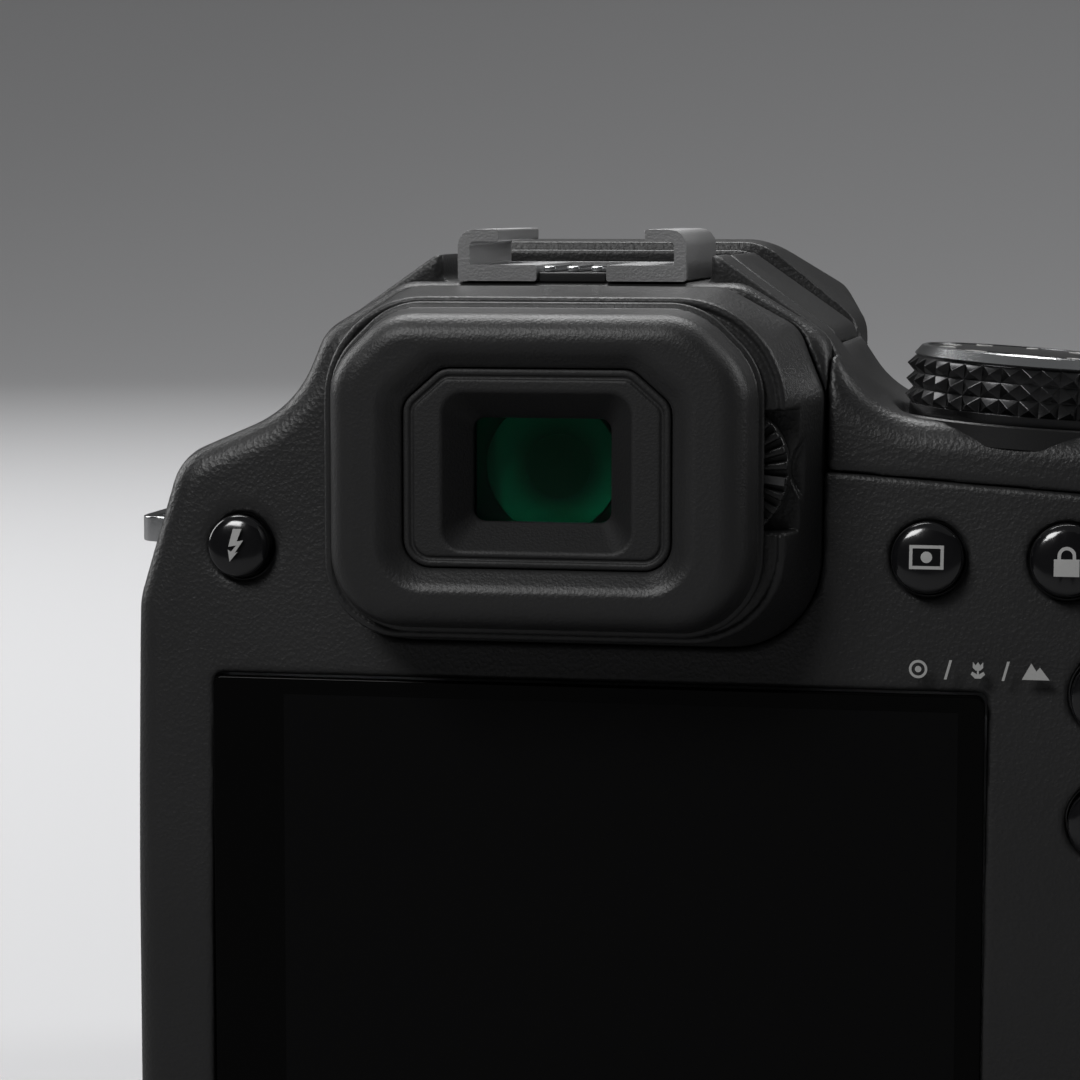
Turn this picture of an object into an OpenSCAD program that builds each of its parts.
// Bridge camera: long fixed zoom, electronic viewfinder, accessory shoe and pop-up flash.
// Millimetres. +X is the photographer's right, +Y points along the lens and +Z is up.
// The origin is the mouth of the tripod socket, in the plane that the base stands on.

/* [Body] */
// Lens barrel to the left side
side_room = 6.4; // [5.8:0.1:12]
// Lens axis to the right side
right_w = 86; // [85:0.5:94]
// Rear face to front face
body_d = 36; // [35:0.5:42]
// Height of the right top plate beside the mode dial
shoulder_z = 80.7; // [79:0.1:86]
// Fall of the right top plate to the right, degrees
shoulder_tilt = 4.2; // [2:0.1:6]
// Height of the left shoulder's outer corner
left_shoulder_z = 77.1; // [76:0.1:79]
// Thickness of the moulded shells
wall = 2; // [1.6:0.1:2.4]
// Thickness of the base plate
base_t = 2.5; // [2.2:0.1:3]
// Rounding of the rear rim
rim_r = 2.8; // [1.5:0.1:3]
// Rounding of the front rim
front_r = 3.5; // [2:0.1:4]
// Rear face to the seam between the rear and front covers
seam_y = 8; // [7.6:0.1:9]
// Top plate down to its seam with the rear cover
seam_drop = 5.2; // [4.8:0.1:6]
// Height of the crease across the rear face
crease_z = 62.3; // [61:0.1:63]
// Lean of the rear face above the crease, degrees
lean = 8; // [6:0.5:9]
// Tripod socket centre to the rear face
socket_y = 18; // [17:0.5:20]

/* [Hump] */
// Width of the hump at its flanks
hump_w = 45.6; // [44:0.2:48]
// Height of the hump's flank corner
flank_z = 88.8; // [88:0.1:90]
// Width of the hump's crown
crown_w = 25; // [24:0.2:27]
// Height of the crown over the flash arms
crown_z = 96; // [95:0.1:97]
// Height of the roof under the accessory shoe
roof_z = 93.2; // [92.6:0.1:94]
// Rear face to the nose of the hump
nose_y = 63; // [61:0.5:68]

/* [Viewfinder] */
// Height of the eyepiece
eye_z = 77.3; // [76.8:0.1:78]
// Width of the eyecup
cup_w = 36.6; // [35:0.2:38]
// Height of the eyecup
cup_h = 27.3; // [26:0.1:28.5]
// Rear face back to the eyecup's rim
cup_out = 12; // [11:0.1:14]
// Rear face back to the ledge that carries the eyecup
ledge_out = 6; // [5.4:0.1:7]
// Width of the eyepiece housing at the rear face
housing_w = 46.4; // [45.6:0.2:48]
// How far the left side of the housing is drawn in
housing_short = 1.7; // [0:0.1:2.4]
// Width of the light tunnel
tunnel_w = 14.8; // [13:0.1:15]
// Height of the light tunnel
tunnel_h = 17.8; // [16:0.1:18.4]
// Width of the eyepiece opening
window_w = 12.1; // [11:0.1:12.6]
// Height of the eyepiece opening
window_h = 9; // [8:0.1:9.6]
// Radius of the diopter wheel
diopter_r = 6.3; // [5.8:0.1:6.4]

/* [Display] */
// Width of the display glass
glass_w = 70; // [66:0.5:71]
// Height of the display glass
glass_h = 51; // [48:0.5:51.5]
// Top edge of the display glass
glass_z = 57.4; // [56.8:0.1:58]
// Lens axis to the display's middle
glass_x = 2.8; // [2:0.1:3.4]

/* [Accessory shoe] */
// Clear width between the rails
shoe_w = 18.7; // [18.6:0.05:19]
// Clear width between the flanges
shoe_mouth = 13.4; // [12.5:0.1:14]
// Clear height under the flanges
shoe_h = 2.1; // [2:0.05:2.4]
// Thickness of the shoe's sheet metal
shoe_t = 1.1; // [0.8:0.05:1.2]
// Length of the shoe
shoe_l = 19; // [18:0.5:22]

/* [Lens] */
// Height of the lens axis
lens_z = 43; // [42.8:0.1:44]
// Outer radius of the fixed barrel in front of the body
barrel_r = 36.5; // [35.5:0.1:36.6]
// Wall of the moving barrels
tube_t = 1.2; // [1:0.05:1.4]
// Rear face to the front of the fixed barrel
barrel_front = 72; // [70:0.5:76]
// Rear face to the front of the lens
lens_front = 106; // [104:0.5:112]
// Forward travel of the zoom barrel
zoom_travel = 28; // [20:0.5:28]
// Turn of the cam ring over that travel, degrees
cam_turn = 100; // [80:1:105]
// Radius of the filter thread
filter_r = 27.5; // [27.3:0.1:28.2]
// Length of the filter thread
filter_l = 4.5; // [3.5:0.1:5]

/* [Controls] */
// Radius of the mode dial
dial_r = 10.8; // [9.5:0.1:11]
// Height of the mode dial
dial_h = 6.2; // [5:0.1:7]
// Radius of the shutter button
shutter_r = 5.4; // [4.8:0.1:5.6]
// Radius of the rear command dial
wheel_r = 9; // [8.6:0.1:9.2]
// Travel of a rear key
key_travel = 0.5; // [0.3:0.05:0.6]

/* [Grip and base] */
// Rear face to the front of the grip
grip_y = 66; // [64:0.5:72]
// Lens axis to the grip's inner side
grip_x = 47; // [46:0.5:48]
// Fall of the grip's top to the front, degrees
grip_fall = 16; // [12:0.5:18]
// Thickness of the rubber skin
rubber_t = 0.9; // [0.6:0.1:1.2]
// Radius of the tripod thread
thread_r = 3.175; // [3.175:0.005:3.2]
// Depth of the tripod thread
thread_l = 6; // [5:0.1:6.2]
// Width of the battery
battery_w = 15; // [13:0.1:15.4]
// Height of the battery
battery_h = 46; // [40:0.5:47]

/* [Hidden] */
$fn = 64;

// Colours
body_black = "#1d1d1f";
rubber_black = "#161617";
gloss_black = "#0c0c0e";
metal_grey = "#8d8f92";
bright_metal = "#c8cacc";
board_green = "#1f4d33";
lens_blue = "#2a3550";

// Clearances
seam_gap = 0.1;
run_gap = 0.3;
key_gap = 0.25;
axle_gap = 0.05;
skin_gap = 0.05;
past = 1;

// Points along one rounded corner of an outline
arc_n = 4;
// Steps round a rim
rim_n = 4;

// Stack of parts behind the display, measured from the rear face
glass_in = 0.3;
glass_t = 1.2;
panel_t = 3.5;
frame_t = 1.2;
board_t = 1.2;
panel_y = glass_in + glass_t;
frame_y = panel_y + panel_t;
board_y = frame_y + frame_t;

// Places on the body
barrel_wall = 4.6;
guide_wall = 1.4;
cam_r = barrel_r - barrel_wall;
guide_r = cam_r + run_gap;
in_body_r = guide_r + guide_wall;
left_w = in_body_r + side_room;
ridge_x = housing_w / 2 + 0.2;
left_seam_z = left_shoulder_z - 1.9;
chamfer_z = left_shoulder_z - 13.1;
chamfer_w = 3.7;
grip_start = body_d - 6;
dial_x = 40;
dial_y = 15;
hump_foot = 27.5;

// Corners, arcs and lofted skins

function unit(v) = v / norm(v);
function flat(c) = [c[0], c[1]];
function corner(p, q, s, r, n) = r == 0 ? [q] : let (
    u = unit(p - q),
    w = unit(s - q),
    half = acos(u * w) / 2,
    c = q + unit(u + w) * r / sin(half),
    a = q + u * r / tan(half) - c,
    b = q + w * r / tan(half) - c,
    from = atan2(a[1], a[0]),
    turn = (atan2(b[1], b[0]) - from + 540) % 360 - 180)
    [for (i = [0:n]) c + r * [cos(from + turn * i / n), sin(from + turn * i / n)]];
// Corner list [x, y, radius] to a closed outline of arcs and straights
function rounded(list, n = arc_n) = let (m = len(list))
    [for (i = [0:m - 1])
        each corner(flat(list[(i + m - 1) % m]), flat(list[i]), flat(list[(i + 1) % m]), list[i][2], n)];
function outward(pts, i) = let (n = len(pts), t = unit(pts[(i + 1) % n] - pts[(i + n - 1) % n])) [t[1],
    -t[0]];
function grow(pts, d) = [for (i = [0:len(pts) - 1]) pts[i] + d * outward(pts, i)];
function upright(pts, y) = [for (p = pts) [p[0], y, p[1]]];
function box_corners(w, h, r, z = 0) =
    [[-w / 2, z - h / 2, r], [w / 2, z - h / 2, r], [w / 2, z + h / 2, r], [-w / 2, z + h / 2, r]];

// Skin through rings of equal count
module loft(rings) {
    n = len(rings[0]);
    top = (len(rings) - 1) * n;
    polyhedron(
        points = [for (r = rings) each r],
        faces = concat(
            [[for (i = [0:n - 1]) n - 1 - i]],
            [for (j = [0:len(rings) - 2], i = [0:n - 1])
                let (a = j * n + i, b = j * n + (i + 1) % n) each [[a, b, b + n], [a, b + n, a + n]]],
            [[for (i = [0:n - 1]) top + i]]),
        convexity = 8);
}

// The body is drawn from its rear face; this carries it to the tripod socket's frame
module in_body() translate([0, -socket_y, 0]) children();
// Cylinder along +Y from a to b
module rod_y(r, a, b) translate([0, a, 0]) rotate([-90, 0, 0]) cylinder(r = r, h = b - a);
// Cylinder along +X from a to b
module rod_x(r, a, b) translate([a, 0, 0]) rotate([0, 90, 0]) cylinder(r = r, h = b - a);
// Box between two corners
module block(low, high) translate(low) cube(high - low);
// Outline in X and Z carried along +Y from a to b
module slab_y(pts, a, b) translate([0, b, 0]) rotate([90, 0, 0]) linear_extrude(b - a) polygon(pts);
// Outline in Y and Z carried along +X from a to b
module slab_x(pts, a, b) translate([a, 0, 0]) rotate([90, 0, 90]) linear_extrude(b - a) polygon(pts);
// Outline in X and Y carried up from a to b
module slab_z(pts, a, b) translate([0, 0, a]) linear_extrude(b - a) polygon(pts);
// Turned profile [radius, y] about the lens axis
module turned(profile) translate([0, 0, lens_z]) rotate([-90, 0, 0]) rotate_extrude($fn = 128)
    polygon(profile);

// Body outlines, seen from the rear, and the plan and side profiles that trim them

far = 200;
function shoulder(x) = shoulder_z - tan(shoulder_tilt) * (x - dial_x);
function body_corners(top_w, top_z) = [
    [-left_w, 0, 5], [right_w, 0, 8], [right_w, shoulder(right_w), 8],
    [hump_foot, shoulder(hump_foot), 9], [hump_w / 2, flank_z, 4], [top_w / 2, top_z, 4],
    [-top_w / 2, top_z, 4], [-hump_w / 2, flank_z, 4], [-hump_foot + 2, left_shoulder_z + 4.7, 10],
    [-left_w + chamfer_w, left_shoulder_z, 5], [-left_w, chamfer_z, 8]];
rear_outline = rounded(body_corners(crown_w + 6, roof_z));
front_outline = rounded(body_corners(crown_w, crown_z));
plan_outline = rounded([
    [-left_w, 0, rim_r], [right_w, 0, rim_r], [right_w, body_d, front_r], [-left_w, body_d, front_r]]);
function leaning(z) = max(0, z - crease_z) * tan(lean);
function side_profile(inset) = [
    [inset, -past], [body_d - inset, -past], [body_d - inset, far], [inset + leaning(far), far],
        [inset, crease_z]];
module body_form(outline, from, to) intersection() {
    slab_y(outline, from, to);
    slab_z(plan_outline, -past, far);
    slab_x(side_profile(0), -far, far);
}
module body_hollow(outline, from, to) intersection() {
    slab_y(grow(outline, -wall), from, to);
    slab_x(side_profile(wall), -far, far);
}

// The hump's nose over the lens, from its outlines seen from the rear, the side and above

shelf_z = lens_z + barrel_r + run_gap;
nose_back = body_d - 0.5;
nose_half = hump_w / 2 + 0.4;
nose_round = 16;
module nose_form() intersection() {
    slab_y(rounded([
        [-nose_half, shelf_z, 0.6], [nose_half, shelf_z, 0.6], [nose_half, flank_z, 4],
        [crown_w / 2 + 0.3, crown_z + 1.2, 4], [-crown_w / 2 - 0.3, crown_z + 1.2, 4],
            [-nose_half, flank_z, 4]]),
        nose_back, nose_y);
    slab_x([[0, 0], [nose_y - 1.5, 0], [nose_y - 1.5, shelf_z], [nose_y, shelf_z + 2.5],
        [nose_y, crown_z - 8],
        [nose_y - 1.4, crown_z - 5.6], [nose_y - 5, crown_z - 3], [nose_y - 10, crown_z - 0.8],
        [nose_y - nose_round, crown_z + 0.6], [body_d + 5, crown_z + 1.2], [nose_back, crown_z + 0.3],
            [0, crown_z + 0.3]],
        -far, far);
    slab_z(rounded([[-far, 0, 0], [far, 0, 0], [nose_half, nose_y - nose_round, 6],
        [nose_half - 3.5, nose_y, 5], [3.5 - nose_half, nose_y, 5], [-nose_half, nose_y - nose_round, 6]]),
        0, far);
}

// Grip, seen from above

function grip_top(x, y) = shoulder(x) - tan(grip_fall) * (y - grip_start);
grip_back = body_d - front_r - 1;
grip_right = right_w - 0.4;
grip_taper = 15;
grip_inner_taper = 20;
grip_out = 9;
grip_in = 11;
grip_round = min(9, 0.47 * (right_w - grip_x - grip_in - grip_out));
grip_outline = rounded([
    [grip_x, grip_back, 3], [grip_right, grip_back, 3], [grip_right, grip_y - grip_taper, 12],
    [right_w - grip_out, grip_y, grip_round], [grip_x + grip_in, grip_y, grip_round],
    [grip_x, grip_y - grip_inner_taper, 7]]);
function level(pts, z) = [for (p = pts) [p[0], p[1], z]];
// Everything below the grip's falling top, or below a plane sunk under it
module under_grip_top(sunk) translate([shutter_x, shutter_y, grip_top(shutter_x, shutter_y) - sunk])
    rotate([-grip_fall, shoulder_tilt, 0]) block([-far, -far, -far], [far, far, 0]);
module grip_form() intersection() {
    slab_z(grip_outline, base_t, far);
    under_grip_top(0);
}
module grip_hollow() intersection() {
    slab_z(grow(grip_outline, -wall), base_t - past, far);
    under_grip_top(wall);
}

// Space over the seam of the top cover: right of the eyepiece housing, and the rest of the top
module right_of_housing(gap = 0) {
    low = seam_drop - gap;
    function edge(y) = [for (p = [[ridge_x + gap, 0], [far, 0], [far, 1], [ridge_x + gap, 1]])
        [p[0], y, p[1] == 1 ? far : shoulder(p[0]) - tan(grip_fall) * max(0, y - grip_start) - low]];
    loft([edge(-far / 2), edge(grip_start), edge(far / 2)]);
}
module over_seam(gap = 0) {
    right_of_housing(gap);
    block([-far / 2, gap > 0 ? seam_y + seam_gap : 0, left_seam_z + gap],
        [ridge_x + gap + past, far / 2, far]);
}

// Pop-up flash

flash_pin_r = 1.1;
flash_pin_y = seam_y + 12;
flash_pin_z = crown_z - 5.2;
arm_end_r = 6;
arm_floor = flash_pin_z - 3.8;
flash_front_r = nose_y - 5 - flash_pin_y;
flash_floor = shelf_z + 3;
core_w = crown_w - 0.2;
core_front = flash_pin_y + 13;
lamp_w = 30;
lamp_h = 7.6;
lamp_d = 10;
// Space that the flash head fills; a gap above zero draws it in from its neighbours
module flash_space(gap) intersection() {
    difference() {
        union() {
            block([-hump_w, flash_pin_y, arm_floor + gap], [hump_w, nose_y, crown_z + 9]);
            block([-hump_w, core_front + 5 + gap, flash_floor + gap], [hump_w, nose_y, crown_z + 9]);
            intersection() {
                translate([0, flash_pin_y, flash_pin_z]) rod_x(arm_end_r - gap, -hump_w, hump_w);
                block([-hump_w, 0, gap > 0 ? arm_floor + gap : 0], [hump_w, nose_y, crown_z + 9]);
            }
        }
        block([-core_w / 2 - gap, 0, 0], [core_w / 2 + gap, core_front + gap, crown_z + 9]);
    }
    translate([0, flash_pin_y, flash_pin_z]) rod_x(flash_front_r - gap, gap - ridge_x, ridge_x - gap);
}

// Rear keys stand square to the rear face, which leans above the crease
module on_rear(x, z) translate([x, leaning(z), z]) rotate([90 - (z > crease_z ? lean : 0), 0, 0])
    children();
key_in = frame_y - key_travel - run_gap;
key_flange = 0.7;
key_lip = -wall - 0.15;
module key(r, out, domed = 0.35) rotate_extrude($fn = 48) polygon([
    [0, -key_in], [r + key_flange, -key_in], [r + key_flange, key_lip], [r, key_lip],
    [r, out - domed - 0.3], [r - 0.3, out - domed], [r * 0.7, out - domed * 0.35],
        [r * 0.35, out - 0.05], [0, out]]);
module key_hole(r) translate([0, 0, -key_in - past]) cylinder(r = r + key_gap, h = key_in + 2 * past + 2);

pad_side = 26;
pad_x = right_w - pad_side;
pad_z = 46.5;
pad_pitch = 11.6;
key_row_z = 57.6;
low_row_z = 24;
upper_row_z = 69.45;
flash_side = 10.1;
flash_key = [flash_side - left_w, 69.3, 2.85];
viewfinder_key = [32.6, upper_row_z, 3.15];
lock_key = [44.7, upper_row_z, 3.2];
focus_left = 11.2;
focus_key = [pad_x - focus_left, key_row_z, 3.6];
play_key = [pad_x + 12, key_row_z, 3.2];
pad_r = 3.3;
up_key = [pad_x, pad_z + pad_pitch, pad_r];
down_key = [pad_x, pad_z - pad_pitch, pad_r];
left_key = [pad_x - pad_pitch, pad_z, pad_r];
right_key = [pad_x + pad_pitch, pad_z, pad_r];
menu_key = [pad_x, pad_z, 3.9];
display_key = [pad_x - 9, low_row_z, 3];
quick_key = [pad_x + 10, low_row_z, 3];
rear_keys = [flash_key, viewfinder_key, lock_key, focus_key, play_key, up_key, down_key, left_key,
    right_key,
    menu_key, display_key, quick_key];
module rear_key(k, out = 0.9) color(gloss_black) in_body() on_rear(k[0], k[1]) key(k[2], out);

// Top controls stand square to the falling top plate
module on_top(x, y) translate([x, y, shoulder(x)]) rotate([0, shoulder_tilt, 0]) children();
shutter_side = 19;
shutter_x = right_w - shutter_side;
shutter_y = grip_y - 14;
module on_grip() translate([shutter_x, shutter_y, grip_top(shutter_x, shutter_y)])
    rotate([-grip_fall, shoulder_tilt, 0]) children();
movie_side = 29;
switch_side = 25;
movie_at = [right_w - movie_side, 25.5, 2.7];
burst_at = [shutter_x, 25.5, 2.7];
switch_at = [right_w - switch_side, 13];
switch_travel = 4;
switch_w = 3;
switch_l = 5;
dial_shaft_r = 3;
collar_r = 6.4;
collar_h = 2;
lever_t = 3;

// Command dial on the rear, turning on an upright pin
wheel_side = 16;
wheel_x = right_w - wheel_side;
wheel_z = 69;
wheel_h = 5.2;
wheel_out = 1.4;
wheel_y = leaning(wheel_z) - wheel_out + wheel_r;
wheel_pin_r = 1.2;
wheel_boss_r = 3;
wheel_pin_top = shoulder(wheel_x) - wall - 0.4;
wheel_teeth = 36;
wheel_top = wheel_z + wheel_h / 2 + run_gap;
wheel_chord_y = wheel_y - leaning(wheel_top) - wall / cos(lean);
wheel_slot = sqrt(pow(wheel_r, 2) - pow(wheel_chord_y, 2)) + run_gap;

// Viewfinder places
diopter_x = tunnel_w / 2 + diopter_r + 1.1;
diopter_t = 2.8;
diopter_pin_r = 1.5;
diopter_slot_h = 10.5;
diopter_floor = diopter_t + run_gap - ledge_out;
// Scoop for the finger beside the wheel
notch_r = 3.4;
notch_out = 1.2;
sleeve_t = 1.4;
recess_in = 1.4;
frame_w = 23.4;
frame_h = 17.2;
frame_z = eye_z + 0.3;
eye_glass_t = 1.2;
function chamfered(w, h, cut_w, cut_h, low_r, r, z) = [
    [-w / 2, z - h / 2, low_r], [w / 2, z - h / 2, low_r], [w / 2, z + h / 2 - cut_h, r],
    [w / 2 - cut_w, z + h / 2, r], [cut_w - w / 2, z + h / 2, r], [-w / 2, z + h / 2 - cut_h, r]];
recess_outline = rounded(chamfered(frame_w + 2.2, frame_h + 2, 4, 3.4, 2, 1.6, frame_z));
frame_outline = rounded(chamfered(frame_w, frame_h, 3.4, 3, 1.4, 1.2, frame_z));
housing_low = eye_z - 16.3;
housing_left = housing_w / 2 - housing_short;
housing_top = roof_z - 0.3;
housing_outline = rounded([
    [-housing_left, housing_low, 8], [housing_w / 2, housing_low, 8], [housing_w / 2, eye_z + 6.4, 4],
    [housing_w / 2 - 2.4, eye_z + 12, 4], [crown_w / 2 + 1.6, housing_top, 4],
        [-crown_w / 2 - 1.6, housing_top, 4],
    [2.4 - housing_left, eye_z + 12, 4], [-housing_left, eye_z + 6.4, 4]]);
housing_draft = 2.7;
left_draft = 1.6;
draft_end = 2;
module housing_form() intersection() {
    slab_y(housing_outline, -ledge_out, seam_y - 2.5);
    slab_z([[left_draft - housing_left, -ledge_out], [housing_w / 2 - housing_draft, -ledge_out],
        [housing_w / 2, draft_end], [housing_w / 2, seam_y], [-housing_left, seam_y],
        [-housing_left, draft_end]], 0, far);
    slab_x([[-ledge_out, housing_low + housing_draft], [draft_end, housing_low], [seam_y, housing_low],
        [seam_y, housing_top], [draft_end, housing_top], [-ledge_out, housing_top - 0.9]], -far, far);
}

// Base and battery
grip_mid = (grip_x + right_w) / 2 + 0.5;
battery_l = 36;
battery_y = 34;
bay_t = 1;
bay_gap = 0.4;
door_w = 24.4;
door_l = 42;
door_x = grip_mid - 0.7;
door_pin_r = 0.6;
pin_past = 3;
door_knuckle = base_t / 2;
door_pin_x = door_x + door_w / 2 - door_knuckle;
latch_w = 4;
latch_l = 8;
latch_travel = 2.5;
latch_t = 1;
base_in = 1;
base_out_x = right_w - grip_out - base_in / 2;
base_in_x = grip_x + grip_in + base_in / 2;
base_outline = rounded([
    [base_in - left_w, base_in, 4], [right_w - base_in, base_in, 4],
    [right_w - base_in, grip_y - grip_taper, 11], [base_out_x, grip_y - base_in, grip_round - base_in],
    [base_in_x, grip_y - base_in, grip_round - base_in], [grip_x + base_in, grip_y - grip_inner_taper, 6],
    [grip_x + base_in, body_d - base_in, 3], [base_in - left_w, body_d - base_in, 4]]);
base_edge = 0.8;
screw_boss_r = 2.6;
screw_r = 0.9;
screw_head_r = 1.9;
screw_l = 6;
boss_h = screw_l + 1.5;
screw_in = wall + screw_boss_r - 0.6;
screw_side = 6;
screws = [[screw_side - left_w, body_d - screw_in], [grip_x - 6, body_d - screw_in],
    [grip_mid - 3, screw_in], [right_w - 6, screw_in]];
front_screws = [screws[0], screws[1]];
rear_screws = [screws[2], screws[3]];
bush_r = 5.5;
bush_flange_r = 8;

// Side door over the sockets
port_y = 20;
port_l = 18;
port_z = 30;
port_h = 32;
port_t = 1.5;
port_pin_r = 0.5;
port_pin_y = port_y + port_l / 2 - port_t / 2;
port_pin_x = -left_w + port_t / 2;
port_lip = 2.5;

// Strap lugs
lug_y = 18;
lug_z = [69.5, 66];
lug_l = 11;
lug_t = 2.4;
lug_out = 4.6;
lug_slot = [2.2, 7.4];
lug_root = 1.6;
lug_end = 2.2;
module lug(at_x, at_z) translate([at_x, lug_y, at_z - lug_t / 2]) linear_extrude(lug_t)
    difference() {
        union() {
            translate([-lug_root, -lug_l / 2]) square([lug_root + lug_out - lug_end, lug_l]);
            for (s = [-1, 1]) translate([lug_out - lug_end, s * (lug_l / 2 - lug_end)]) circle(lug_end);
            translate([lug_out - lug_end - 0.1, lug_end - lug_l / 2])
                square([lug_end + 0.1, lug_l - 2 * lug_end]);
        }
        translate([lug_out - 1.4 - lug_slot[0], -lug_slot[1] / 2]) square(lug_slot);
    }
left_lug_x = -left_w + chamfer_w * (lug_z[0] - chamfer_z) / (left_shoulder_z - chamfer_z);
module both_lugs() {
    translate([2 * left_lug_x, 0, 0]) mirror([1, 0, 0]) lug(left_lug_x, lug_z[0]);
    lug(right_w, lug_z[1]);
}

// Lens train, from the rear face
cam_in_r = cam_r - 2.5;
zoom_r = cam_in_r - run_gap;
front_r_out = zoom_r - tube_t - run_gap;
front_bore = front_r_out - tube_t;
mount_y = seam_y + 4;
mount_t = 2;
gear_teeth = 78;
pinion_teeth = 15;
// Turns a pinion tooth to the cam ring, which has a gap there
pinion_phase = 0.25;
gear_module = 2 * (cam_r - 0.7) / gear_teeth;
gear_pitch_r = gear_module * gear_teeth / 2;
pinion_pitch_r = gear_module * pinion_teeth / 2;
gear_y = mount_y + mount_t + 2;
gear_w = 5;
window_gap = 0.7;
window_in = 5;
motor_r = 3.2;
motor_x = gear_pitch_r + pinion_pitch_r;
motor_shaft_r = 0.75;
pin_r = 1.2;
groove_r = guide_r + 1.1;
pin_y = gear_y + gear_w + 5.5;
focus_tube_r = 14;
focus_tube_t = 1.2;
focus_travel = 6;
focus_back = 4;
focus_l = 7;
focus_tube_l = mount_t + focus_back + focus_l + focus_travel + past;
zoom_rear = pin_y - 2.5;
zoom_front = barrel_front + 14;
front_rear = zoom_rear + 6;
// Rear end of the front barrel to the zoom lens group
group_in = 24;
ring_t = 3;
ring_r = max(filter_r, front_r_out - 0.1) + ring_t;
ring_y = lens_front - 14;
group_y = front_rear + group_in;
group_l = 8;
aperture_t = 3;
iris_r = 8;
sensor_board = [32, 28];
sensor_window = [18, 15];
// Straight-sided teeth: half-widths at the root and tip as parts of one pitch
gear_tip = 0.7;
gear_root = 0.95;
root_half = 0.33;
tip_half = 0.1;
function gear_point(pitch, teeth, add, along) = (pitch + add) * [sin(360 / teeth * along),
    cos(360 / teeth * along)];
function gear_outline(pitch, teeth, phase = 0) = [for (k = [0:teeth - 1]) each [
    gear_point(pitch, teeth, -gear_root, k + phase - root_half),
        gear_point(pitch, teeth, gear_tip, k + phase - tip_half),
    gear_point(pitch, teeth, gear_tip, k + phase + tip_half),
        gear_point(pitch, teeth, -gear_root, k + phase + root_half)]];
// Outline in X and Z about the lens axis, carried along +Y
module disc_y(pts, a, b) translate([0, b, lens_z]) rotate([90, 0, 0]) linear_extrude(b - a) polygon(pts);
// One helical slot of the cam ring, swept as rings across its width
slot_steps = 20;
slot_half = pin_r + run_gap;
module cam_slot(start) {
    pitch = zoom_travel / cam_turn;
    slope = atan(zoom_travel / (cam_turn * PI / 180 * (cam_r + cam_in_r) / 2));
    function rim_point(r, along, across) =
        let (a = start - along + across * sin(slope) / r * 180 / PI)
        [r * sin(a), pin_y + along * pitch + across * cos(slope), lens_z + r * cos(a)];
    over = slot_half / cos(slope) / pitch * 0.55;
    loft([for (k = [0:slot_steps]) let (s = -over + (cam_turn + 2 * over) * k / slot_steps)
        [rim_point(cam_in_r - past, s, -slot_half), rim_point(cam_in_r - past, s, slot_half),
         rim_point(cam_r + past, s, slot_half), rim_point(cam_r + past, s, -slot_half)]]);
}

// Shells

module rear_cover() color(body_black) in_body() difference() {
    union() {
        difference() {
            union() {
                body_form(rear_outline, 0, seam_y);
                housing_form();
            }
            body_hollow(rear_outline, 0, seam_y + past);
            right_of_housing();
            block([-left_w - past, -ledge_out - past, -past],
                [right_w + past, seam_y + past, base_t + seam_gap]);
        }
        // Sleeve that carries the viewfinder's optics
        slab_y(rounded(box_corners(tunnel_w + 2 * sleeve_t, tunnel_h + 2 * sleeve_t, 1, eye_z)), wall,
            seam_y);
        intersection() {
            for (s = rear_screws) translate([s[0], s[1], base_t + seam_gap])
                cylinder(r = screw_boss_r, h = boss_h);
            block([0, wall / 2, 0], [right_w, seam_y, crease_z]);
        }
    }
    slab_y(rounded(box_corners(tunnel_w, tunnel_h, 0.8, eye_z)), -ledge_out - past, seam_y + past);
    slab_y(display_outline(glass_gap), -past, wall + past);
    for (k = rear_keys) on_rear(k[0], k[1]) key_hole(k[2]);
    on_rear(flash_key[0], flash_key[1]) translate([0, 0, -dish_in])
        cylinder(r1 = dish_floor_r, r2 = dish_r + dish_r - dish_floor_r, h = 2 * dish_in);
    block([wheel_x - wheel_slot, -wheel_out - past, wheel_z - wheel_h / 2 - run_gap],
          [wheel_x + wheel_slot, seam_y + past, wheel_top]);
    diopter_pocket();
    for (s = rear_screws) translate([s[0], s[1], 0]) cylinder(r = screw_r, h = base_t + screw_l);
}
glass_gap = 0.15;
// Dish round the flash button, from its floor to its rim
dish_in = 1.1;
dish_floor_r = flash_key[2] + 0.6;
dish_r = flash_key[2] + 1.7;
glass_corner = 0.8;
function display_outline(gap) = [for (p = rounded(box_corners(glass_w + 2 * gap, glass_h + 2 * gap,
    glass_corner, glass_z - glass_h / 2))) [p[0] + glass_x, p[1]]];
// Pocket, pin and finger slot of the diopter wheel
module diopter_pocket() difference() {
    union() {
        translate([diopter_x, 0, eye_z]) rod_y(diopter_r + run_gap, -ledge_out - past, diopter_floor);
        block([diopter_x + diopter_r / 3, -ledge_out - past, eye_z - diopter_slot_h / 2],
              [diopter_x + 2 * diopter_r, diopter_floor, eye_z + diopter_slot_h / 2]);
        translate([housing_w / 2 + notch_out, 0, eye_z])
            rod_y(notch_r, -ledge_out - past, diopter_floor + past);
    }
    translate([diopter_x, 0, eye_z]) rod_y(diopter_pin_r, 0.2 - ledge_out, past);
}

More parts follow.
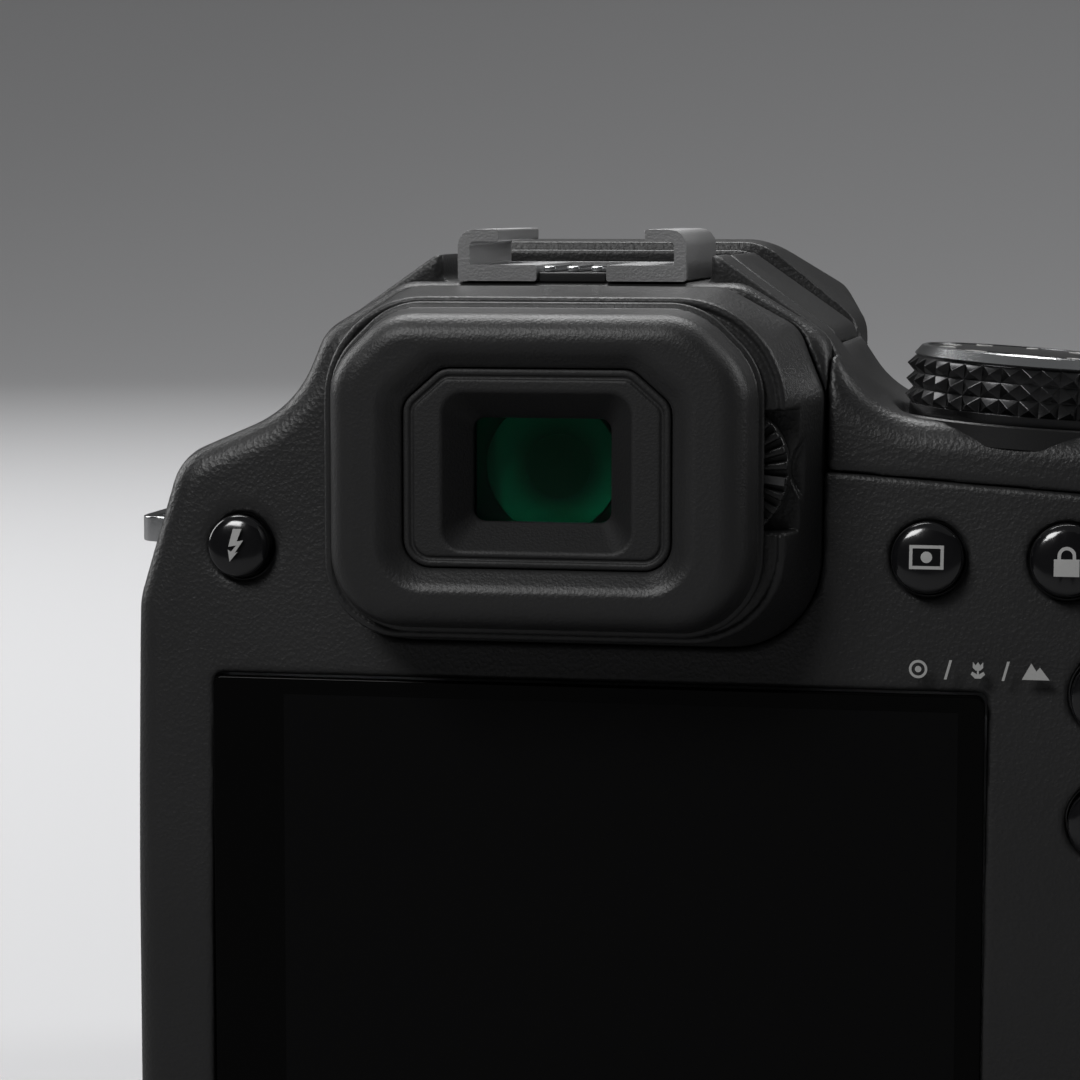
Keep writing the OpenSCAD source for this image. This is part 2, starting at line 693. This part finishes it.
module front_cover() color(body_black) in_body() {
    difference() {
        union() {
            body_form(front_outline, seam_y + seam_gap, body_d);
            grip_form();
        }
        over_seam();
        body_hollow(front_outline, 0, body_d);
        grip_hollow();
        translate([0, 0, lens_z]) rod_y(in_body_r + run_gap, body_d - 2 * wall, body_d + past);
        block([-left_w - past, 0, -past], [right_w + past, grip_y + past, base_t + seam_gap]);
        port_recess();
        both_lugs();
    }
    difference() {
        for (s = front_screws) translate([s[0], s[1], base_t + seam_gap])
            cylinder(r = screw_boss_r, h = boss_h);
        for (s = front_screws) translate([s[0], s[1], 0]) cylinder(r = screw_r, h = base_t + screw_l);
    }
}
module port_recess() {
    block([-left_w - past, port_y - port_l / 2 - run_gap, port_z - port_h / 2 - run_gap],
          [-left_w + port_t + 0.1, port_pin_y + port_t / 2 + run_gap, port_z + port_h / 2 + run_gap]);
    block([-left_w - past, port_y - port_l / 2 + port_lip, port_z - port_h / 2 + port_lip],
          [-left_w + wall + past, port_y + port_l / 2 - port_lip, port_z + port_h / 2 - port_lip]);
    translate([port_pin_x, port_pin_y, port_z - port_h / 2 - pin_past / 2])
        cylinder(r = port_pin_r, h = port_h + pin_past);
}

module top_cover() color(body_black) in_body() {
    difference() {
        union() {
            intersection() {
                union() {
                    body_form(front_outline, 0, body_d);
                    grip_form();
                }
                over_seam(seam_gap);
            }
            nose_form();
        }
        intersection() {
            union() {
                body_hollow(front_outline, 0, body_d);
                grip_hollow();
            }
            union() {
                block([ridge_x + wall, 0, 0], [right_w, grip_y, crown_z]);
                block([-left_w, 0, 0], [ridge_x + wall + past, body_d,
                    flash_pin_z - arm_end_r - run_gap - wall]);
            }
        }
        // Roof under the shoe, and the hollow below it for the viewfinder
        block([-core_w / 2, 0, roof_z], [core_w / 2, core_front + past, crown_z + 9]);
        block([wall + 0.5 - core_w / 2, 0, 0],
            [core_w / 2 - wall - 0.5, core_front - wall, roof_z - wall]);
        flash_space(0);
        translate([0, 0, lens_z]) rod_y(in_body_r + run_gap, mount_y, body_d + past);
        for (s = [-1, 1]) translate([0, flash_pin_y, flash_pin_z])
            rod_x(flash_pin_r, s * (core_w / 2 - 1.25) - 1.25 - past / 2,
            s * (core_w / 2 - 1.25) + 1.25 + past / 2);
        on_top(dial_x, dial_y) {
            translate([0, 0, -2 * wall]) cylinder(r = dial_shaft_r + axle_gap, h = 3 * wall);
            translate([0, 0, -0.5]) cylinder(r = dial_r + 0.5, h = past + 0.5);
        }
        on_top(switch_at[0], switch_at[1]) translate([0, 0, -wall])
            cube([switch_w + 2 * key_gap, switch_l + switch_travel + 2 * key_gap, 3 * wall],
                center = true);
        for (b = [movie_at, burst_at]) on_top(b[0], b[1]) key_hole(b[2]);
        on_grip() translate([0, 0, -key_in - past]) cylinder(r = shutter_r + key_gap, h = 20);
        on_grip() translate([0, 0, -0.1]) difference() {
            cylinder(r = lever_r + 0.6, h = past + 4);
            cylinder(r = collar_r - 0.1, h = past + 4);
        }
    }
    on_grip() difference() {
        translate([0, 0, -wall / 2]) cylinder(r = collar_r, h = collar_h + wall / 2);
        translate([0, 0, -wall]) cylinder(r = shutter_r + key_gap, h = 20);
    }
    // Boss that holds the command dial's pin
    difference() {
        translate([wheel_x, wheel_y, wheel_top])
            cylinder(r = wheel_boss_r, h = wheel_pin_top - wheel_top + 1.2);
        translate([wheel_x, wheel_y, wheel_z]) cylinder(r = wheel_pin_r, h = wheel_pin_top - wheel_z);
    }
}

module base_plate() color(body_black) in_body() difference() {
    union() {
        translate([0, 0, base_edge]) linear_extrude(base_t - base_edge) polygon(base_outline);
        linear_extrude(base_edge) polygon(grow(base_outline, -base_edge));
    }
    block([door_x - door_w / 2 - run_gap, battery_y - door_l / 2 - run_gap, -past],
          [door_x + door_w / 2 + run_gap, battery_y + door_l / 2 + run_gap, base_t + past]);
    translate([door_pin_x, 0, base_t / 2])
        rod_y(door_pin_r, battery_y - door_l / 2 - pin_past, battery_y + door_l / 2 + pin_past);
    translate([0, socket_y, -past]) cylinder(r = bush_r, h = base_t + 2 * past);
    for (s = screws) translate([s[0], s[1], 0]) {
        translate([0, 0, -past]) cylinder(r = screw_r, h = base_t + 2 * past);
        translate([0, 0, -past]) cylinder(r = screw_head_r, h = past + 1.3);
    }
}

module grip_rubber() color(rubber_black) in_body() difference() {
    loft([grip_skin(rubber_t - 0.5, 15), grip_skin(rubber_t, 15.5),
        level(grow(grip_outline, rubber_t), base_t + 5.5),
        level(grow(grip_outline, rubber_t - 0.5), base_t + 5)]);
    loft([grip_skin(skin_gap, 10), level(grow(grip_outline, skin_gap), base_t + 1)]);
    block([0, 0, 0], [right_w + past + rubber_t, body_d + 2, crown_z]);
}
function grip_skin(out, drop) =
    [for (p = grow(grip_outline, out)) [p[0], p[1], grip_top(p[0], p[1]) - drop]];

// Viewfinder

cup_outline = rounded(chamfered(cup_w, cup_h, 5, 4.9, 6.4, 6, eye_z));
cup_soft = 2.8;
module eyecup() color(rubber_black) in_body() difference() {
    loft(concat(
        [for (k = [0:rim_n]) let (a = 90 * k / rim_n)
            upright(grow(cup_outline, -cup_soft * (1 - sin(a))), cup_soft * (1 - cos(a)) - cup_out)],
        [upright(grow(cup_outline, 0.5), -ledge_out)]));
    loft([upright(grow(recess_outline, 0.7), -cup_out - past),
        upright(grow(frame_outline, 0.1), recess_in - cup_out),
        upright(grow(frame_outline, 0.1), past - ledge_out)]);
}
frame_back = recess_in - cup_out;
frame_depth = 3;
module eyepiece_frame() color(gloss_black) in_body() difference() {
    slab_y(frame_outline, frame_back, -ledge_out);
    loft([
        upright(rounded(box_corners(window_w + 4.9, window_h + 5.2, 0.8, eye_z)), frame_back - 0.2),
        upright(rounded(box_corners(window_w, window_h, 0.8, eye_z)), frame_back + frame_depth),
        upright(rounded(box_corners(window_w, window_h, 0.8, eye_z)), past - ledge_out)]);
    slab_y(rounded(box_corners(window_w + 2, window_h + 2, 0.6, eye_z)), -ledge_out - eye_glass_t,
        past - ledge_out);
}
module eyepiece_window() color(lens_blue) in_body()
    slab_y(rounded(box_corners(window_w + 1.8, window_h + 1.8, 0.6, eye_z)), -ledge_out - eye_glass_t,
        -ledge_out);
ocular_y = 4.4 - ledge_out;
ocular_t = 1.2;
ocular_half = 1.7;
ocular_curve = 13.7;
module eyepiece_lens() color(lens_blue) in_body() {
    slab_y(rounded(box_corners(tunnel_w - 2 * run_gap, tunnel_h - 2 * run_gap, 0.8, eye_z)), ocular_y,
        ocular_y + ocular_t);
    translate([0, ocular_y + ocular_t / 2, eye_z]) intersection() {
        rod_y(tunnel_w / 2 - sleeve_t, -ocular_half, ocular_half);
        for (s = [-1, 1]) translate([0, s * (ocular_curve - ocular_half), 0]) sphere(r = ocular_curve);
    }
}
viewfinder_t = 3;
module viewfinder_display() color(body_black) in_body()
    slab_y(rounded(box_corners(tunnel_w + 2 * sleeve_t, tunnel_h + 2 * sleeve_t, 1, eye_z)), seam_y,
        seam_y + viewfinder_t);
diopter_teeth = 28;
tooth_h = 0.5;
module diopter_dial() color(body_black) in_body() translate([diopter_x, 0, eye_z]) difference() {
    rotate([90, 0, 0]) translate([0, 0, ledge_out - diopter_t - 0.2]) linear_extrude(diopter_t)
        polygon([for (i = [0:diopter_teeth - 1], k = [0:3]) let (a = 360 * (i + k / 4) / diopter_teeth)
            (diopter_r - (k < 2 ? 0 : tooth_h)) * [cos(a), sin(a)]]);
    rod_y(diopter_pin_r + axle_gap, -ledge_out - past, past);
}

// Accessory shoe

shoe_y = 6;
shoe_floor = roof_z + 0.1 + shoe_t + 0.35;
shoe_top = shoe_floor + shoe_h + shoe_t;
shoe_slot = 6.4;
module shoe_rail() {
    out = shoe_w / 2 + shoe_t;
    slab_y(rounded([[shoe_slot / 2, roof_z + 0.1, 0.2], [out, roof_z + 0.1, 0.3], [out, shoe_top, 1.5],
        [shoe_mouth / 2, shoe_top, 0.2], [shoe_mouth / 2, shoe_top - shoe_t, 0.2],
            [shoe_w / 2, shoe_top - shoe_t, 0.4],
        [shoe_w / 2, shoe_floor, 0.1], [shoe_slot / 2, shoe_floor, 0.2]], 4), shoe_y, shoe_y + shoe_l);
}
module hot_shoe() color(metal_grey) in_body() {
    shoe_rail();
    mirror([1, 0, 0]) shoe_rail();
    // Cross strip that joins the two sides at the front
    block([-shoe_slot / 2 - past, shoe_y + shoe_l - 2, roof_z + 0.1],
        [shoe_slot / 2 + past, shoe_y + shoe_l, shoe_floor]);
}
module hot_shoe_base() color(body_black) in_body() {
    block([-shoe_slot / 2 + 0.1, shoe_y + 0.5, roof_z],
        [shoe_slot / 2 - 0.1, shoe_y + shoe_l - 2.1, roof_z + 0.9]);
    block([1 - core_w / 2, shoe_y + shoe_l + 0.1, roof_z],
        [core_w / 2 - 1, core_front - 1, roof_z + 1.4]);
}
contact_pitch = 2.2;
module hot_shoe_contacts() color(bright_metal) in_body() for (i = [-1:1])
    translate([i * contact_pitch, 0, 0])
        block([-0.55, shoe_y + 1, roof_z + 0.9], [0.55, shoe_y + 9, shoe_floor - 0.1]);

// Flash

module flash_head() color(body_black) in_body() difference() {
    intersection() {
        union() {
            body_form(front_outline, seam_y, body_d);
            nose_form();
        }
        flash_space(run_gap);
    }
    for (s = [-1, 1]) translate([0, flash_pin_y, flash_pin_z])
        rod_x(flash_pin_r + axle_gap, s * (core_w / 2 + 3) - 3 - past, s * (core_w / 2 + 3) + 3 + past);
    block([-lamp_w / 2, lamp_back, flash_floor + 1.2], [lamp_w / 2, nose_y, flash_floor + 1.2 + lamp_h]);
}
lamp_face = flash_pin_y + sqrt(pow(flash_front_r, 2) - pow(flash_pin_z - flash_floor - 1.2, 2)) - 0.8;
lamp_back = lamp_face - lamp_d;
lamp_t = 1.6;
tube_r = 1.4;
module flash_lamp() color("#e8eaee") in_body() {
    block([0.1 - lamp_w / 2, lamp_face - lamp_t, flash_floor + 1.3],
        [lamp_w / 2 - 0.1, lamp_face, flash_floor + 1.1 + lamp_h]);
    translate([0, lamp_back + tube_r + 1, flash_floor + 1.2 + lamp_h / 2])
        rod_x(tube_r, 0.1 - lamp_w / 2, lamp_w / 2 - 0.1);
}

// Keys on the rear

module flash_button() rear_key(flash_key, 0.6);
module viewfinder_button() rear_key(viewfinder_key);
module exposure_lock_button() rear_key(lock_key);
module focus_mode_button() rear_key(focus_key);
module playback_button() rear_key(play_key);
module cursor_up_key() rear_key(up_key);
module cursor_down_key() rear_key(down_key);
module cursor_left_key() rear_key(left_key);
module cursor_right_key() rear_key(right_key);
module menu_button() rear_key(menu_key);
module display_button() rear_key(display_key);
module quick_menu_button() rear_key(quick_key);
module rear_dial() color(body_black) in_body() translate([wheel_x, wheel_y, wheel_z - wheel_h / 2])
    difference() {
    linear_extrude(wheel_h) polygon([for (i = [0:2 * wheel_teeth - 1]) let (a = 180 * i / wheel_teeth)
        (wheel_r - (i % 2 == 0 ? 0 : 0.6)) * [cos(a), sin(a)]]);
    translate([0, 0, -past]) cylinder(r = wheel_pin_r + axle_gap, h = wheel_h + 2 * past);
}

// Controls on the top

knurl_rows = 3;
knurl_n = 36;
knurl_pitch = 1.42;
knurl_depth = 0.7;
skirt_h = 0.9;
// Drum whose side is rows of small pyramids
module knurled_drum(r, rows, n, pitch) {
    function at(rad, a, z) = [rad * cos(a), rad * sin(a), z];
    grid = [for (j = [0:rows], i = [0:n - 1]) at(r - knurl_depth, 360 * i / n, j * pitch)];
    tips = [for (j = [0:rows - 1], i = [0:n - 1]) at(r, 360 * (i + 0.5) / n, (j + 0.5) * pitch)];
    polyhedron(concat(grid, tips), concat(
        [for (j = [0:rows - 1], i = [0:n - 1]) let (
            a = j * n + i, b = j * n + (i + 1) % n, c = b + n, d = a + n, t = (rows + 1) * n + j * n + i)
            each [[b, a, t], [c, b, t], [d, c, t], [a, d, t]]],
        [[for (i = [0:n - 1]) i]], [[for (i = [0:n - 1]) (rows + 1) * n - 1 - i]]));
}
module mode_dial() color(body_black) in_body() on_top(dial_x, dial_y) {
    knurl_h = knurl_rows * knurl_pitch;
    translate([0, 0, -0.2]) cylinder(r = dial_r - 0.5, h = skirt_h + 0.25);
    translate([0, 0, skirt_h]) knurled_drum(dial_r, knurl_rows, knurl_n, knurl_pitch);
    translate([0, 0, skirt_h + knurl_h - 0.05]) rotate_extrude() polygon([
        [0, 0], [dial_r - knurl_depth - 0.1, 0], [dial_r - knurl_depth - 0.1, 0.25],
        [dial_r - 1.5, dial_h - skirt_h - knurl_h], [0, dial_h - skirt_h - knurl_h]]);
    translate([0, 0, -3 * wall]) cylinder(r = dial_shaft_r, h = 3 * wall);
}
module power_switch() color(body_black) in_body() on_top(switch_at[0], switch_at[1]) {
    translate([0, -switch_travel / 2, -wall / 2]) cube([switch_w, switch_l, wall + 3.6], center = true);
    translate([-switch_w / 2 - 1, -switch_travel / 2 - switch_l / 2 - 1, -wall - 1.4])
        cube([switch_w + 2, switch_l + 2, 1.2]);
}
lever_r = 8.4;
shutter_in = 5;
module zoom_lever() color(metal_grey) in_body() on_grip() difference() {
    union() {
        translate([0, 0, 0.2]) cylinder(r = lever_r, h = lever_t);
        translate([-1.6, lever_r - 1, 0.2]) cube([3.2, 3.6, lever_t + 1.2]);
    }
    translate([0, 0, -past]) cylinder(r = collar_r + axle_gap, h = collar_h + past + 0.3);
    translate([0, 0, -past]) cylinder(r = shutter_r + 0.4, h = 20);
}
module shutter_button() color(bright_metal) in_body() on_grip() rotate_extrude() polygon([
    [0, -shutter_in], [shutter_r + key_flange, -shutter_in], [shutter_r + key_flange, key_lip],
        [shutter_r, key_lip],
    [shutter_r, lever_t + 0.8], [shutter_r - 0.6, lever_t + 1.3], [shutter_r * 0.5, lever_t + 1.1],
        [0, lever_t + 1]]);
module top_key(b) color(gloss_black) in_body() on_top(b[0], b[1]) key(b[2], 0.8);
module movie_button() top_key(movie_at);
module burst_button() top_key(burst_at);

// Display

module display_window() color(gloss_black) in_body()
    slab_y(display_outline(0), glass_in, glass_in + glass_t);
module display_panel() color(metal_grey) in_body()
    slab_y([for (p = rounded(box_corners(glass_w - 3, glass_h - 3, 1,
        glass_z - glass_h / 2))) [p[0] + glass_x, p[1]]],
        panel_y, frame_y);

// Inside

plate_right = grip_x + 7;
// Hole through the plate and the board for the sensor's cable
cable_r = 7;
bay_x = grip_mid - battery_w / 2 - bay_gap - bay_t;
bay_w = battery_w + 2 * bay_gap + 2 * bay_t;
bay_y = battery_y - battery_l / 2 - bay_gap - bay_t;
bay_l = battery_l + 2 * bay_gap + 2 * bay_t;
battery_low = base_t + run_gap;
// Blocks that stand for the main board's larger parts
chip = 10;
chip_t = 1.2;
chip_z = 12;
chip_x = [-24, -8, 26, 41];
module chassis() color(metal_grey) in_body() difference() {
    union() {
        block([wall + 2 - left_w, frame_y, base_t], [plate_right, board_y, key_row_z + 2]);
        block([plate_right - 2, frame_y, base_t], [bay_x + bay_t, bay_y + 3, battery_h]);
        block([bay_x, bay_y, base_t],
            [bay_x + bay_w, bay_y + bay_l, battery_low + battery_h + bay_gap + bay_t]);
    }
    block([bay_x + bay_t, bay_y + bay_t, base_t - past],
          [bay_x + bay_w - bay_t, bay_y + bay_l - bay_t, battery_low + battery_h + bay_gap]);
    translate([0, 0, lens_z]) rod_y(cable_r + 2, 0, body_d);
}
module main_board() color(board_green) in_body() difference() {
    union() {
        block([wall + 4 - left_w, board_y, base_t + 3], [plate_right - 3, board_y + board_t, key_row_z]);
        for (x = chip_x) translate([x - chip / 2, board_y + board_t - 0.2, chip_z])
            cube([chip, chip_t, chip]);
    }
    translate([0, 0, lens_z]) rod_y(cable_r, 0, body_d);
}
module image_sensor() color(lens_blue) in_body() {
    block([-sensor_board[0] / 2, mount_y - 1.6, lens_z - sensor_board[1] / 2],
          [sensor_board[0] / 2, mount_y, lens_z + sensor_board[1] / 2]);
    block([0.3 - sensor_window[0] / 2, mount_y - 0.2, lens_z + 0.3 - sensor_window[1] / 2],
          [sensor_window[0] / 2 - 0.3, mount_y + 1.2, lens_z - 0.3 + sensor_window[1] / 2]);
}
module battery() color("#3a3d42") in_body()
    block([grip_mid - battery_w / 2, battery_y - battery_l / 2, battery_low],
          [grip_mid + battery_w / 2, battery_y + battery_l / 2, battery_low + battery_h]);

// Lens

module lens_barrel() color(body_black) in_body() difference() {
    union() {
        turned([[0, mount_y], [in_body_r, mount_y], [in_body_r, body_d], [barrel_r - 0.6, body_d],
            [barrel_r, body_d + 0.6],
            [barrel_r, barrel_front - 2], [guide_r, barrel_front - 2], [guide_r, mount_y + mount_t],
                [0, mount_y + mount_t]]);
        turned([[focus_tube_r, mount_y + 1], [focus_tube_r + focus_tube_t, mount_y + 1],
            [focus_tube_r + focus_tube_t, mount_y + focus_tube_l],
                [focus_tube_r, mount_y + focus_tube_l]]);
    }
    block([-sensor_window[0] / 2, mount_y - past, lens_z - sensor_window[1] / 2],
          [sensor_window[0] / 2, mount_y + mount_t + past, lens_z + sensor_window[1] / 2]);
    // Straight guide grooves for the zoom barrel's pins
    for (a = [60:120:300]) translate([0, 0, lens_z]) rotate([0, a, 0])
        block([-slot_half, pin_y - 2 * pin_r, guide_r - past],
            [slot_half, pin_y + zoom_travel + 2 * pin_r, groove_r]);
    // Window for the zoom pinion
    translate([guide_r - window_in, gear_y - window_gap, lens_z - pinion_pitch_r - window_gap])
        cube([window_in + guide_wall + past, gear_w + 2 * window_gap, 2 * (pinion_pitch_r + window_gap)]);
}
module lens_trim_ring() color(metal_grey) in_body() turned([
    [zoom_r + run_gap, barrel_front - 2], [barrel_r, barrel_front - 2], [barrel_r, barrel_front - 0.9],
    [barrel_r - 0.9, barrel_front], [zoom_r + 2, barrel_front], [zoom_r + run_gap, barrel_front - 0.6]]);
module cam_ring() color(metal_grey) in_body() difference() {
    union() {
        turned([[cam_in_r, gear_y - 1], [gear_pitch_r - gear_root, gear_y - 1],
            [gear_pitch_r - gear_root, gear_y + gear_w + 1],
            [cam_r, gear_y + gear_w + 1], [cam_r, barrel_front - 6], [cam_in_r, barrel_front - 6]]);
        difference() {
            disc_y(gear_outline(gear_pitch_r, gear_teeth), gear_y, gear_y + gear_w);
            translate([0, 0, lens_z]) rod_y(cam_in_r + 0.2, gear_y - past, gear_y + gear_w + past);
        }
    }
    for (a = [60:120:300]) cam_slot(a);
}
module zoom_barrel() color(body_black) in_body() {
    turned([[zoom_r - tube_t, zoom_rear], [zoom_r, zoom_rear], [zoom_r, zoom_front - 0.5],
        [zoom_r - 0.5, zoom_front],
        [zoom_r - tube_t, zoom_front]]);
    for (a = [60:120:300]) translate([0, pin_y, lens_z]) rotate([0, a, 0])
        translate([0, 0, zoom_r - 0.4]) cylinder(r = pin_r, h = guide_r + 0.8 - zoom_r + 0.4, $fn = 32);
}
module front_barrel() color(body_black) in_body() turned([
    [front_bore, front_rear], [front_r_out, front_rear], [front_r_out, ring_y], [ring_r - 0.8, ring_y],
        [ring_r, ring_y + 0.8],
    [ring_r, lens_front - 1.2], [ring_r - 1, lens_front], [filter_r, lens_front],
        [filter_r, lens_front - filter_l],
    [front_bore + 0.4, lens_front - filter_l - 1], [front_bore, ring_y + 2],
        [front_bore - 1.4, ring_y + 1.5],
    [front_bore - 1.4, ring_y], [front_bore, ring_y - 0.5]]);
front_lens_r = front_bore - 0.2;
front_lens_y = ring_y + 2;
lens_sag = 5;
// Heights of a domed face, from its rim to its middle
function dome(r, sag, y, n, way) = let (big = (r * r + sag * sag) / (2 * sag))
    [for (i = [0:n]) let (x = way > 0 ? r * (1 - i / n) : r * i / n) [x,
        y + way * (sqrt(big * big - x * x) - big + sag)]];
module front_lens() color(lens_blue) in_body()
    turned(concat([[0, front_lens_y], [front_lens_r, front_lens_y]],
        dome(front_lens_r, lens_sag, front_lens_y + 2, 10, 1)));
module zoom_lens_group() color(lens_blue) in_body() turned(concat(
    [[front_bore - run_gap, group_y], [front_bore - run_gap, group_y + group_l],
        [front_bore - 5, group_y + group_l]],
    dome(front_bore - 6, 1.6, group_y + group_l - 2, 6, 1),
        [[0, group_y + 1], [front_bore - 5, group_y + 1], [front_bore - 5, group_y]]));
module aperture_unit() color(body_black) in_body() turned([
    [iris_r, group_y + group_l], [front_bore - run_gap, group_y + group_l],
        [front_bore - run_gap, group_y + group_l + aperture_t],
    [iris_r, group_y + group_l + aperture_t]]);
focus_y = mount_y + mount_t + focus_back;
module focus_lens_group() color(lens_blue) in_body() turned(concat(
    [[0, focus_y], [focus_tube_r - run_gap, focus_y], [focus_tube_r - run_gap, focus_y + focus_l],
        [focus_tube_r - 3.5, focus_y + focus_l]],
    dome(focus_tube_r - 4, 1.4, focus_y + focus_l - 1, 6, 1)));
module zoom_motor() color(metal_grey) in_body() translate([motor_x, 0, lens_z]) {
    rod_y(motor_r, gear_y + gear_w + 1, body_d - wall);
    rod_y(motor_shaft_r, gear_y - 0.8, gear_y + gear_w + 1.5);
}
module zoom_pinion() color("#c9b98a") in_body() difference() {
    translate([motor_x, gear_y + gear_w, lens_z]) rotate([90, 0, 0]) linear_extrude(gear_w)
        polygon(gear_outline(pinion_pitch_r, pinion_teeth, pinion_phase));
    translate([motor_x, 0, lens_z])
        rod_y(motor_shaft_r + axle_gap, gear_y - past, gear_y + gear_w + past);
}

// Doors, socket, lugs and fasteners

module battery_door() color(body_black) in_body() difference() {
    union() {
        block([door_x - door_w / 2, battery_y - door_l / 2, 0],
            [door_pin_x, battery_y + door_l / 2, base_t]);
        translate([door_pin_x, 0, base_t / 2])
            rod_y(door_knuckle, battery_y - door_l / 2, battery_y + door_l / 2);
    }
    translate([door_pin_x, 0, base_t / 2])
        rod_y(door_pin_r + axle_gap, battery_y - door_l, battery_y + door_l);
    block([latch_x - run_gap, battery_y - latch_l / 2 - run_gap, -past],
          [latch_x + latch_w + latch_travel + run_gap, battery_y + latch_l / 2 + run_gap, latch_t + 0.3]);
}
latch_x = door_x - door_w / 2 + 2;
module battery_latch() color(gloss_black) in_body()
    block([latch_x, battery_y - latch_l / 2, 0.2],
        [latch_x + latch_w, battery_y + latch_l / 2, latch_t + 0.2]);
module port_door() color(rubber_black) in_body() difference() {
    union() {
        block([-left_w, port_y - port_l / 2, port_z - port_h / 2],
            [port_t - left_w, port_pin_y, port_z + port_h / 2]);
        translate([port_pin_x, port_pin_y, port_z - port_h / 2]) cylinder(r = port_t / 2, h = port_h);
    }
    translate([port_pin_x, port_pin_y, port_z - port_h])
        cylinder(r = port_pin_r + axle_gap, h = 2 * port_h);
}
terminal_d = 3.2;
jack = [3, 10];
jack_in = 2.4;
jack_z = [-8, 6];
module terminal_block() color(gloss_black) in_body() difference() {
    translate([wall - left_w, port_y - port_l / 2 + 1, port_z - port_h / 2 + 1])
        cube([terminal_d, port_l - 2, port_h - 2]);
    for (z = jack_z) translate([wall - left_w - past, port_y - jack[0] / 2, port_z + z - jack[1] / 2])
        cube([jack_in + past, jack[0], jack[1]]);
}
module tripod_socket() color(bright_metal) in_body() translate([0, socket_y, 0]) difference() {
    union() {
        cylinder(r = bush_r, h = thread_l + 2);
        translate([0, 0, base_t]) cylinder(r = bush_flange_r, h = 1.5);
    }
    translate([0, 0, -past]) cylinder(r = thread_r, h = thread_l + past);
}
module strap_lugs() color(bright_metal) in_body() both_lugs();
module body_screws() color(metal_grey) in_body() for (s = screws) translate([s[0], s[1], 0]) {
    translate([0, 0, 0.3]) cylinder(r = screw_head_r, h = 1);
    translate([0, 0, 1.2]) cylinder(r = screw_r, h = base_t + screw_l - 1.7);
}
module hinge_pins() color(bright_metal) in_body() {
    for (s = [-1, 1]) translate([0, flash_pin_y, flash_pin_z])
        rod_x(flash_pin_r, s * (core_w / 2 + 1.5) - 3.5, s * (core_w / 2 + 1.5) + 3.5);
    translate([door_pin_x, 0, base_t / 2])
        rod_y(door_pin_r, battery_y - door_l / 2 - pin_past, battery_y + door_l / 2 + pin_past);
    translate([port_pin_x, port_pin_y, port_z - port_h / 2 - pin_past / 2])
        cylinder(r = port_pin_r, h = port_h + pin_past);
    translate([wheel_x, wheel_y, wheel_z - wheel_h / 2 - 0.5])
        cylinder(r = wheel_pin_r, h = wheel_pin_top - wheel_z + wheel_h / 2 + 0.5);
}

rear_cover();
front_cover();
top_cover();
base_plate();
grip_rubber();
eyecup();
eyepiece_frame();
eyepiece_window();
eyepiece_lens();
viewfinder_display();
diopter_dial();
hot_shoe();
hot_shoe_base();
hot_shoe_contacts();
flash_head();
flash_lamp();
flash_button();
display_window();
display_panel();
chassis();
main_board();
image_sensor();
lens_barrel();
lens_trim_ring();
cam_ring();
zoom_barrel();
front_barrel();
front_lens();
zoom_lens_group();
aperture_unit();
focus_lens_group();
zoom_motor();
zoom_pinion();
mode_dial();
power_switch();
zoom_lever();
shutter_button();
movie_button();
burst_button();
rear_dial();
viewfinder_button();
exposure_lock_button();
focus_mode_button();
playback_button();
cursor_up_key();
cursor_down_key();
cursor_left_key();
cursor_right_key();
menu_button();
display_button();
quick_menu_button();
battery();
battery_door();
battery_latch();
port_door();
terminal_block();
tripod_socket();
strap_lugs();
body_screws();
hinge_pins();
